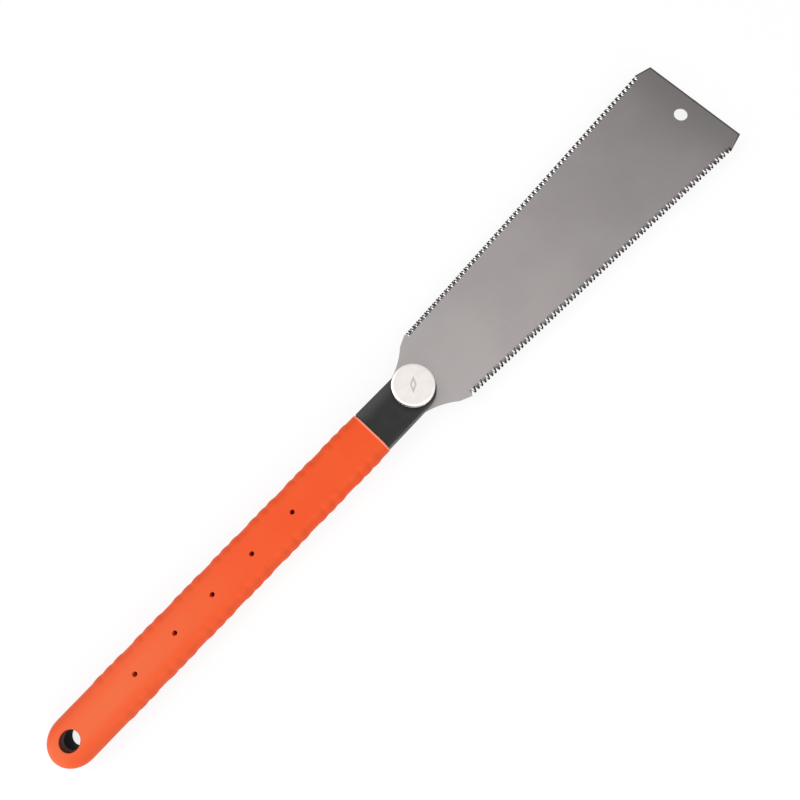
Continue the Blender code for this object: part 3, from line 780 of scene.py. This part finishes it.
def tooth(name, row, far):
    """One tooth with the strip of plate below it, measured from the gullet on its heel side.

    The flanks lean over across the plate, so they meet in a ridge before the tip, and a small
    top facet cuts that ridge off. The broad face and the tip are on the `far` side. The flank
    towards the heel is painted as if lit, a painted highlight, and the toe-side flank and the
    top facet as if in shade, painted shade.
    """
    slant = row["slant"] / 2
    pitch = row["pitch"]
    tip = Vector((row["lean"], row["depth"]))
    knee = Vector((row["lean"] + row["top"], row["depth"] - row["drop"]))
    roots = Vector((-slant, 0)), Vector((pitch + slant, 0))
    near_roots = Vector((slant, 0)), Vector((pitch - slant, 0))
    near_tip = tip + Vector((2 * slant, 0))
    near_knee = knee - Vector((2 * slant, 0))
    ridge_foot = crossing((near_roots[0], near_tip), (near_roots[1], near_knee))
    apex = crossing((roots[0], tip), (roots[1], knee))
    rise = (apex.y - knee.y) / max(apex.y - ridge_foot.y, HAIR)
    share = min(RIDGE_CUT_MOST, RIDGE_CUT * rise)
    ridge_top = apex.lerp(ridge_foot, share)
    points = [
        (roots[0], 1),
        (tip, 1),
        (knee, 1),
        (roots[1], 1),
        (near_roots[0], -1),
        (ridge_foot, -1),
        (near_roots[1], -1),
        (ridge_top, 1 - 2 * share),
    ]
    points += [(Vector((s, -BAND)), face) for face in (1, -1) for s in (0, pitch)]
    bm = bmesh.new()
    verts = []
    for (s, t), face in points:
        height = max(t, 0) / row["depth"] * TOOTH_SET
        y = row["side"] * (t + TAPER * s)
        verts.append(bm.verts.new((s, y, far * (face * BLADE_HALF + height))))
    finish = {layer: bm.faces.layers.bool.new(layer) for layer in ("ground", "scorched")}
    nearness = bm.loops.layers.float.new("cutting_edge")
    weight = bm.edges.layers.float.new("bevel_weight_edge")
    # The heel-side flank gets the lit copy of the flank steel, a painted highlight; the toe-side
    # flank and top facet get the shaded copy, painted shade.
    loops = (
        ((8, 0, 1, 2, 3, 9), None),
        ((11, 6, 5, 4, 10), None),
        ((0, 4, 5, 7, 1), "ground"),
        ((2, 7, 5, 6, 3), "scorched"),
        ((1, 7, 2), "scorched"),
    )
    for numbers, layer in loops:
        face = bm.faces.new([verts[i] for i in numbers])
        if layer:
            face[finish[layer]] = True
        for number, corner in zip(numbers, face.loops):
            corner[nearness] = (points[number][1] + 1) / 2
    for pair in ((0, 4), (3, 6)):
        bm.edges.get([verts[i] for i in pair])[weight] = 1.0
    if far * row["side"] > 0:
        bmesh.ops.reverse_faces(bm, faces=bm.faces)
    return new_piece(name, plain_mesh(bm, name))


def tooth_row(tree, size):
    """Sets two teeth in turn along an edge, and welds them into one band."""
    feeds = {"Count": size["Teeth"], "Start Location": size["Start"], "Offset": size["Step"]}
    line = result(tree, "GeometryNodeMeshLine", feeds, mode="OFFSET")
    is_odd = calc("MODULO", result(tree, "GeometryNodeInputIndex"), 2.0)
    both = add_node(tree, "GeometryNodeJoinGeometry")
    for label, chosen in (("Even", 1.0 - is_odd), ("Odd", is_odd)):
        shape = result(tree, "GeometryNodeObjectInfo", {"Object": size[label]}, "Geometry")
        feeds = {"Points": line, "Instance": shape, "Selection": chosen}
        wire(both.inputs[0], result(tree, "GeometryNodeInstanceOnPoints", feeds))
    real = result(tree, "GeometryNodeRealizeInstances", {"Geometry": both.outputs[0]})
    feeds = {"Geometry": real, "Distance": TOOTH_WELD}
    welded = result(tree, "GeometryNodeMergeByDistance", feeds)
    finishes = [(size["Plate"], True)]
    # Lit and shaded copies of the flank steel: painted highlight and painted shade.
    for label in ("Ground", "Scorched"):
        feeds = {"Name": label.lower()}
        flank = result(tree, "GeometryNodeInputNamedAttribute", feeds, data_type="BOOLEAN")
        finishes.append((size[label], flank))
    end_tree(tree, welded, *finishes)


def toothed_band(row):
    """Strip of plate with one row of teeth, from a pair of neighbouring teeth."""
    teeth, start = first_root(row)
    side = row["side"]
    pair = [tooth(f"tooth_{side}_{far}", row, far) for far in (-1, 1)]
    band = new_piece("band", bpy.data.meshes.new("band"))
    run_tree(
        band,
        tooth_row,
        Start=(start, side * (edge_line(start) - row["depth"]), BLADE_Z),
        Step=(row["pitch"], side * TAPER * row["pitch"], 0.0),
        Teeth=teeth,
        Even=pair[0],
        Odd=pair[1],
        Plate=plate_steel,
        Ground=lit_flank_steel,
        Scorched=shaded_flank_steel,
    )
    for piece in pair:
        bpy.data.objects.remove(piece)
    return band


def neck_points():
    """Crosscut side of the neck: a hollow arc from the shoulder to the corner, then the heel."""
    start = Vector(SHOULDER)
    chord = Vector(NECK_CORNER) - start
    reach = math.sqrt(NECK_RADIUS**2 - chord.length_squared / 4)
    centre = start + chord / 2 + Vector((-chord.y, chord.x)).normalized() * reach
    opening = (start - centre).angle_signed(Vector(NECK_CORNER) - centre)
    points = []
    for i in range(NECK_STEPS + 1):
        turn = Matrix.Rotation(-opening * i / NECK_STEPS, 2)
        x, y = centre + turn @ (start - centre)
        points.append((clamp_x + x, y))
    return points + [(heel_x, HEEL_HALF)]


def half_outline(row):
    """One half of the plate from the tang to the toe, and which points are inner ones that
    join a row of teeth."""
    teeth, start = first_root(row)
    pitch = row["pitch"]
    root_y = edge_line(start) - row["depth"]
    back = clamp_x - TANG_END_FROM_CLAMP + TANG_CORNER
    points = [
        (back - TANG_CORNER, STUD_BORE_RADIUS),
        (back - TANG_CORNER, TANG_HALF - TANG_CORNER),
        (back, TANG_HALF),
        (clamp_x + SHOULDER[0], TANG_HALF),
    ]
    points += neck_points()
    first_inner = len(points)
    points.append((start, root_y))
    for i in range(teeth + 1):
        points.append((start + i * pitch, root_y + TAPER * i * pitch - BAND))
    end = start + teeth * pitch
    points.append((end, root_y + TAPER * teeth * pitch))
    last_inner = len(points) - 1
    land = end + row["lean"]
    points += [(land, edge_line(land)), (toe_x, TOE_HALF)]
    side = row["side"]
    return [(x, side * y) for x, y in points], (first_inner, last_inner)


def slant_end(vert, row, number):
    """Turns the gullet at the end of a row across the plate as its tooth has it."""
    face = 1 if vert.co.z > BLADE_Z else -1
    shift = -row["slant"] / 2 * face * (1 if number % 2 else -1)
    vert.co.x += shift
    vert.co.y += row["side"] * TAPER * shift


def plate_mesh():
    """Plate between the two rows of teeth, open along them."""
    outline, inner_edges, ends = [], set(), []
    for row in (RIP, CROSSCUT):
        points, (first, last) = half_outline(row)
        if row is CROSSCUT:
            points.reverse()
            first, last = len(points) - 1 - last, len(points) - 1 - first
        base = len(outline)
        outline += points
        inner_edges |= {base + i for i in range(first, last)}
        teeth, _ = first_root(row)
        at_heel, at_toe = (first, last) if row is RIP else (last, first)
        ends += [(base + at_heel, row, 0), (base + at_toe, row, teeth)]
    outline += arc(clamp_x, STUD_BORE_RADIUS, 90, -90, TANG_SLOT_STEPS)[1:-1]
    count = len(outline)
    hole = circle(toe_x - TOE_HOLE_FROM_TOE, TOE_HOLE_RADIUS, BORE_STEPS)
    flat = [Vector(point) for point in outline + hole]
    loops = [list(range(count)), list(range(len(flat) - 1, count - 1, -1))]
    _, _, faces, _, _, _ = delaunay_2d_cdt(flat, [], loops, 1, 1e-9)
    bm = bmesh.new()
    levels = []
    for z in (BLADE_Z - BLADE_HALF, BLADE_Z + BLADE_HALF):
        levels.append([bm.verts.new((*point, z)) for point in flat])
    for face in faces:
        if min(face) < count:
            bm.faces.new([levels[1][i] for i in face])
            bm.faces.new([levels[0][i] for i in reversed(face)])
    for loop in loops:
        for a, b in zip(loop, loop[1:] + loop[:1]):
            if a not in inner_edges:
                bm.faces.new((levels[0][a], levels[0][b], levels[1][b], levels[1][a]))
    for index, row, number in ends:
        for level in levels:
            slant_end(level[index], row, number)
    return mesh_from(bm, "plate")


heel_x = clamp_x + HEEL_FROM_CLAMP
toe_x = heel_x + CUTTING_LENGTH + TOE_CHAMFER_LENGTH
plate_steel = blade_steel()
# Lit and shaded copies of the flank steel: painted highlight and painted shade.
lit_flank_steel = flank_steel("ground_tooth_steel", LIT_FLANK_STEEL, LIT_FLANK_STEEL_PALE)
shaded_flank_steel = flank_steel("scorched_tooth_steel", SHADED_FLANK_STEEL, SHADED_FLANK_STEEL_PALE)
blade = new_piece("toothed_blade", plate_mesh(), plate_steel)
bands = [toothed_band(row) for row in (CROSSCUT, RIP)]
with bpy.context.temp_override(active_object=blade, selected_editable_objects=[blade, *bands]):
    bpy.ops.object.join()
weld = blade.modifiers.new("weld", "WELD")
weld.merge_threshold = TOOTH_WELD
soften = blade.modifiers.new("gullets", "BEVEL")
soften.limit_method = "WEIGHT"
soften.width = GULLET_ROUND
soften.segments = EDGE_STEPS
settle(blade)
shade(blade, 25)
hand_over(blade, "blade", "blade_steel", "blade")

# The clamp's steel pieces are zinc plated: a square nut sunk in the back of the head, a threaded
# stud that is pressed into the knob, a flat washer that spreads the load on the head, and a
# spring washer that keeps the knob from shaking loose.
ZINC = (0.52, 0.53, 0.53)
ZINC_PALE = (0.66, 0.66, 0.64)
ZINC_ROUGHNESS = (0.24, 0.4)
NUT_CHAMFER = 0.7 * MM
BORE_EDGE = 0.35 * MM
THREAD_PITCH = 1.25 * MM
THREAD_DEPTH = 0.68 * MM
THREAD_FLANK = (0.12, 0.88)
THREAD_SIDES = 48
THREAD_ROWS = 10
THREAD_WELD = 0.004 * MM
STUD_END_RADIUS = 3.2 * MM
WASHER_EDGE = 0.12 * MM
SPRING_WIDTH = 3.0 * MM
SPRING_GAP = math.radians(14)
SPRING_RISE = 0.2 * MM
NEARLY_SQUARE = 1.2


def zinc_plate():
    material, tree = new_material("zinc_plate", METAL)
    bloom = object_noise(tree, 2.5 * MM, detail=4.0)
    grain = object_noise(tree, 0.12 * MM)
    colour = blend_colours(spread(bloom, 0.35, 0.7), ZINC, ZINC_PALE)
    roughness = spread(bloom, *WIDE, *ZINC_ROUGHNESS)
    return finish_material(material, colour, roughness, add_bump(grain, 0.004 * MM))


def ring_profile(inner, outer, low, high, edge):
    """Section of a ring with its four corners cut off."""
    return [
        (inner + edge, high),
        (outer - edge, high),
        (outer, high - edge),
        (outer, low + edge),
        (outer - edge, low),
        (inner + edge, low),
        (inner, low + edge),
        (inner, high - edge),
    ]


def set_places(tree, mesh, x, y, z):
    """Mesh with its points moved to new places."""
    place = result(tree, "ShaderNodeCombineXYZ", {"X": x, "Y": y, "Z": z})
    return result(tree, "GeometryNodeSetPosition", {"Geometry": mesh, "Position": place})


def screw_thread(tree, size):
    """Winds a grid round the stud as a V thread, cut off flat at both ends."""
    turns, rows, _ = axes(result(tree, "GeometryNodeInputPosition"))
    height = rows * size["Pitch"] + turns * size["Pitch"] + size["Low"]
    z = calc("MINIMUM", calc("MAXIMUM", height, size["Low"]), size["High"])
    groove = spread(abs(calc("FRACT", rows) * 2.0 - 1.0), *THREAD_FLANK)
    radius = size["Crest"] - groove * size["Depth"]
    taper = calc("MINIMUM", z - size["Low"], size["High"] - z) + size["End"]
    radius = calc("MINIMUM", radius, taper)
    angle = turns * math.tau
    x = radius * calc("COSINE", angle) + size["Centre"]
    moved = set_places(tree, size["Mesh"], x, radius * calc("SINE", angle), z)
    feeds = {"Geometry": moved, "Distance": THREAD_WELD}
    welded = result(tree, "GeometryNodeMergeByDistance", feeds)
    end_tree(tree, welded, (size["Finish"], True))


def threaded_stud(finish):
    low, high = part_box("clamp_stud")
    turns = math.ceil((high.z - low.z) / THREAD_PITCH) + 1
    bm = bmesh.new()
    bmesh.ops.create_grid(bm, x_segments=THREAD_SIDES, y_segments=turns * THREAD_ROWS, size=0.5)
    bmesh.ops.scale(bm, verts=bm.verts, vec=(1, turns, 1))
    bmesh.ops.translate(bm, verts=bm.verts, vec=(0.5, turns / 2 - 1, 0))
    stud = new_piece("threaded_stud", plain_mesh(bm, "stud"))
    run_tree(
        stud,
        screw_thread,
        Centre=clamp_x,
        Low=low.z,
        High=high.z,
        Pitch=THREAD_PITCH,
        Crest=(high.x - low.x) / 2,
        Depth=THREAD_DEPTH,
        End=STUD_END_RADIUS,
        Finish=finish,
    )
    bm = bmesh.new()
    bm.from_mesh(stud.data)
    bmesh.ops.dissolve_degenerate(bm, edges=bm.edges, dist=THREAD_WELD)
    rims = [edge for edge in bm.edges if edge.is_boundary]
    bmesh.ops.holes_fill(bm, edges=rims)
    bmesh.ops.recalc_face_normals(bm, faces=bm.faces)
    bm.to_mesh(stud.data)
    bm.free()
    return stud


def square_nut(finish):
    low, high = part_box("clamp_nut")
    bm = bmesh.new()
    bmesh.ops.create_cube(bm, size=1.0)
    bmesh.ops.scale(bm, verts=bm.verts, vec=high - low)
    bmesh.ops.translate(bm, verts=bm.verts, vec=(low + high) / 2)
    corners = [e for e in bm.edges if abs(e.verts[0].co.z - e.verts[1].co.z) > MM]
    round_edges(bm, corners, NUT_CHAMFER, 4)
    rims = [e for e in bm.edges if abs(e.calc_face_angle(0)) > NEARLY_SQUARE]
    round_edges(bm, rims, WASHER_EDGE, 2)
    nut = new_piece("square_nut", mesh_from(bm, "nut"), finish)
    bore = flared_bore(STUD_BORE_RADIUS, BORE_EDGE, low.z - PAST, high.z, EDGE_STEPS)
    cut(nut, turned("nut_bore", bore + [(0, low.z - PAST)], BORE_STEPS, clamp_x))
    return nut


def spring_ring(finish):
    """Section wound once round the stud, with its two ends sprung apart."""
    low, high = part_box("spring_washer")
    outer = STUD_BORE_RADIUS + SPRING_WIDTH
    profile = ring_profile(STUD_BORE_RADIUS, outer, low.z, high.z - SPRING_RISE, WASHER_EDGE)
    bm = bmesh.new()
    section = bm.faces.new([bm.verts.new((radius, 0, z)) for radius, z in profile])
    start = Matrix.Rotation(SPRING_GAP / 2, 3, "Z")
    bmesh.ops.rotate(bm, verts=bm.verts, cent=(0, 0, 0), matrix=start)
    bmesh.ops.spin(
        bm,
        geom=[section, *section.edges, *section.verts],
        cent=(0, 0, 0),
        axis=(0, 0, 1),
        dvec=(0, 0, SPRING_RISE / ROUND_STEPS),
        angle=math.tau - SPRING_GAP,
        steps=ROUND_STEPS,
    )
    bmesh.ops.translate(bm, verts=bm.verts, vec=(clamp_x, 0, 0))
    return new_piece("spring_ring", mesh_from(bm, "spring"), finish)


def load_washer(finish):
    low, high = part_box("flat_washer")
    outer = (high.x - low.x) / 2
    profile = ring_profile(STUD_BORE_RADIUS, outer, low.z, high.z, WASHER_EDGE)
    mesh = turned("washer", profile, ROUND_STEPS, clamp_x, ring=True)
    return new_piece("load_washer", mesh, finish)


zinc = zinc_plate()
nut = square_nut(zinc)
stud = threaded_stud(zinc)
spring = spring_ring(zinc)
washer = load_washer(zinc)
for piece in (nut, stud, spring, washer):
    shade(piece, 35)
hand_over(nut, "handle", "plated_steel", "clamp_nut")
hand_over(washer, "knob_washers", "plated_steel", "flat_washer")
hand_over(spring, "knob_washers", "plated_steel", "spring_washer")
hand_over(stud, "clamp_knob", "plated_steel", "clamp_stud")

# The knob is turned from aluminium bar and faced in a lathe, with a bright chamfered rim round a
# satin face and a fine straight knurl on its side for the fingers. The rim and side are painted
# brighter than the face, partly as polish and partly as a painted highlight. A plain lozenge is
# marked lightly in the middle of the face.
KNOB_RIM_WIDTH = 1.5 * MM
KNOB_RIM_DROP = 0.07 * MM
KNOB_EDGE = 0.4 * MM
KNOB_ROOF = 1.9 * MM
GROOVE_WIDTH = 0.3 * MM
GROOVE_DEPTH = 0.12 * MM
KNURL_COUNT = 90
KNURL_DEPTH = 0.22 * MM
KNURL_STEPS = 6
KNURL_FROM_EDGE = 0.15 * MM
MARK_LENGTH = 12.0 * MM
MARK_WIDTH = 4.4 * MM
MARK_LINE = 0.32
MARK_TURN = math.radians(46)
ALUMINIUM = (0.93, 0.87, 0.845)
ALUMINIUM_DULL = (0.89, 0.83, 0.805)
ALUMINIUM_ROUGHNESS = (0.26, 0.36)
MARK_GREY = (0.5, 0.48, 0.47)
# Polished rim colour, partly a painted highlight
POLISHED_RIM_HIGHLIGHT = (1.0, 0.97, 0.955)


def face_mark(tree):
    """1 on the line of the lozenge on the upper face, and 0 beside it."""
    feeds = {"Vector": object_place(tree), "Location": (-clamp_x, 0, 0)}
    centred = result(tree, "ShaderNodeMapping", feeds)
    feeds = {"Vector": centred, "Rotation": (0, 0, MARK_TURN)}
    across, along, _ = axes(result(tree, "ShaderNodeMapping", feeds))
    lozenge = abs(across) / (MARK_WIDTH / 2) + abs(along) / (MARK_LENGTH / 2)
    from_line = abs(lozenge - (1 - MARK_LINE))
    _, _, upward = axes(result(tree, "ShaderNodeNewGeometry", output="Normal"))
    return spread(from_line, MARK_LINE * 0.6, MARK_LINE * 1.1, 1.0, 0.0) * (upward > 0.9)


def turned_aluminium():
    material, tree = new_material("turned_aluminium", METAL)
    radius = axis_distance(tree, clamp_x)
    feeds = {"W": radius / (0.11 * MM), "Scale": 1.0, "Detail": 3.0}
    rings = result(tree, "ShaderNodeTexNoise", feeds, "Fac", noise_dimensions="1D")
    cloud = object_noise(tree, 5 * MM, detail=3.0)
    mark = face_mark(tree)
    colour = blend_colours(spread(cloud, *MIDDLE), ALUMINIUM, ALUMINIUM_DULL)
    colour = blend_colours(mark * 0.75, colour, MARK_GREY)
    # Rim and side painted brighter: partly polish, partly a painted highlight.
    colour = blend_colours(radius > face_radius, colour, POLISHED_RIM_HIGHLIGHT)
    roughness = spread(rings, *WIDE, *ALUMINIUM_ROUGHNESS) + mark * 0.15
    return finish_material(material, colour, roughness, add_bump(rings, 0.0025 * MM))


def straight_knurl(tree, size):
    """Cuts straight grooves into the side of a turned knob by drawing its side points inwards."""
    x, y, z = axes(result(tree, "GeometryNodeInputPosition"))
    x = x - size["Centre"]
    wave = calc("COSINE", calc("ARCTAN2", y, x) * size["Count"])
    radius = calc("SQRT", x * x + y * y)
    on_side = radius > size["Radius"] - HAIR
    band = on_side * ((z > size["Low"]) * (z < size["High"]))
    depth = spread(wave, -1.0, 0.2, 1.0, 0.0) * band * size["Depth"]
    share = 1.0 - depth / radius
    moved = set_places(tree, size["Mesh"], x * share + size["Centre"], y * share, z)
    end_tree(tree, moved, (size["Finish"], True))


knob_radius = (clamp_high.x - clamp_low.x) / 2
face_radius = knob_radius - KNOB_RIM_WIDTH
shoulder_z = clamp_high.z - KNOB_RIM_DROP
groove_low = clamp_high.z - GROOVE_DEPTH
side_high = shoulder_z - KNOB_EDGE
side_low = clamp_low.z + KNOB_EDGE
roof_z = clamp_high.z - KNOB_ROOF
knob_profile = [
    (0, clamp_high.z),
    (face_radius - GROOVE_WIDTH, clamp_high.z),
    (face_radius - GROOVE_WIDTH * 0.7, groove_low),
    (face_radius - GROOVE_WIDTH * 0.3, groove_low),
    (face_radius, clamp_high.z),
    (knob_radius - KNOB_EDGE, shoulder_z),
    (knob_radius - KNOB_EDGE * 0.3, shoulder_z - KNOB_EDGE * 0.3),
    (knob_radius, side_high),
    (knob_radius, side_high - KNURL_FROM_EDGE),
    (knob_radius, side_low + KNURL_FROM_EDGE),
    (knob_radius, side_low),
    (knob_radius - KNOB_EDGE, clamp_low.z),
    (STUD_BORE_RADIUS, clamp_low.z),
    (STUD_BORE_RADIUS, roof_z),
    (0, roof_z),
]
knob = new_piece(
    "turned_knob", turned("knob", knob_profile, KNURL_COUNT * KNURL_STEPS, clamp_x)
)
run_tree(
    knob,
    straight_knurl,
    Centre=clamp_x,
    Low=side_low + KNURL_FROM_EDGE / 2,
    High=side_high - KNURL_FROM_EDGE / 2,
    Radius=knob_radius,
    Count=float(KNURL_COUNT),
    Depth=KNURL_DEPTH,
    Finish=turned_aluminium(),
)
shade(knob, 30)
hand_over(knob, "clamp_knob", "silver_knob", "clamp_knob")

# The saw lies on a plain white table in a room that is white overhead and behind the butt and
# falls off to grey beyond the toe, with a broad soft lamp on either side.
FLOOR_HALF = 6.0
FLOOR_WHITE = (0.94, 0.94, 0.94)
FLOOR_AS_LIGHT = (0.6, 0.6, 0.6)
FLOOR_SHOWN = 0.85
ROOM_BRIGHT_FROM = (-0.8, -0.2, 0.6)
ROOM_TONES = ((-0.55, 0.03), (-0.1, 0.44), (0.15, 0.81), (0.4, 1.02), (0.65, 1.12), (0.95, 1.5))
ROOM_TINT = (1.0, 0.985, 0.98)
LAMPS = {
    "soft_lamp": ((-0.7, 0.7, 1.1), 0.9, 5.5),
    "fill_lamp": ((-0.3, -1.0, 0.9), 1.1, 4.5),
}


def white_table():
    """White board that shows almost pure white, and keeps a share of the shadow that it gets.

    It lights the saw from below less than a white board would.
    """
    material = bpy.data.materials.new("white_table")
    material.use_nodes = True
    tree = material.node_tree
    tree.nodes.clear()
    rays = add_node(tree, "ShaderNodeLightPath").outputs
    seen = Value(rays["Is Camera Ray"])
    for kind in ("Is Glossy Ray", "Is Transmission Ray"):
        seen = calc("MAXIMUM", seen, rays[kind])
    colour = blend_colours(seen, FLOOR_AS_LIGHT, FLOOR_WHITE)
    board = result(tree, "ShaderNodeBsdfDiffuse", {"Color": colour})
    glow = result(tree, "ShaderNodeEmission", {"Strength": 1.0})
    mixed = result(tree, "ShaderNodeMixShader", {0: seen * FLOOR_SHOWN, 1: board, 2: glow})
    add_node(tree, "ShaderNodeOutputMaterial", {"Surface": mixed})
    return material


floor_mesh = bpy.data.meshes.new("floor")
corners = [(*point, 0.0) for point in rectangle(-FLOOR_HALF, FLOOR_HALF, FLOOR_HALF)]
floor_mesh.from_pydata(corners, [], [(0, 1, 2, 3)])
floor = new_piece("floor", floor_mesh, white_table())

room = bpy.data.worlds.new("room")
room.use_nodes = True
bpy.context.scene.world = room
sky = room.node_tree
direction = result(sky, "ShaderNodeTexCoord", output="Generated")
bright_from = Vector(ROOM_BRIGHT_FROM).normalized()
feeds = {0: direction, 1: bright_from}
toward = result(sky, "ShaderNodeVectorMath", feeds, "Value", operation="DOT_PRODUCT")
ramp = add_node(sky, "ShaderNodeValToRGB", {"Fac": calc("MULTIPLY_ADD", toward, 0.5, 0.5)})
ramp.color_ramp.interpolation = "B_SPLINE"
while len(ramp.color_ramp.elements) < len(ROOM_TONES):
    ramp.color_ramp.elements.new(0.5)
for stop, (cosine, tone) in zip(ramp.color_ramp.elements, ROOM_TONES):
    stop.position = (cosine + 1) / 2
    stop.color = (*[tone * share for share in ROOM_TINT], 1.0)
background = sky.nodes["Background"]
wire(background.inputs["Color"], ramp.outputs["Color"])
background.inputs["Strength"].default_value = 1.0

for name, (place, size, power) in LAMPS.items():
    lamp = bpy.data.objects.new(name, bpy.data.lights.new(name, "AREA"))
    bpy.context.scene.collection.objects.link(lamp)
    lamp.data.size = size
    lamp.data.energy = power
    lamp.location = place
    lamp.rotation_euler = (-Vector(place)).to_track_quat("-Z", "Y").to_euler()

bpy.context.scene.view_settings.view_transform = "Standard"
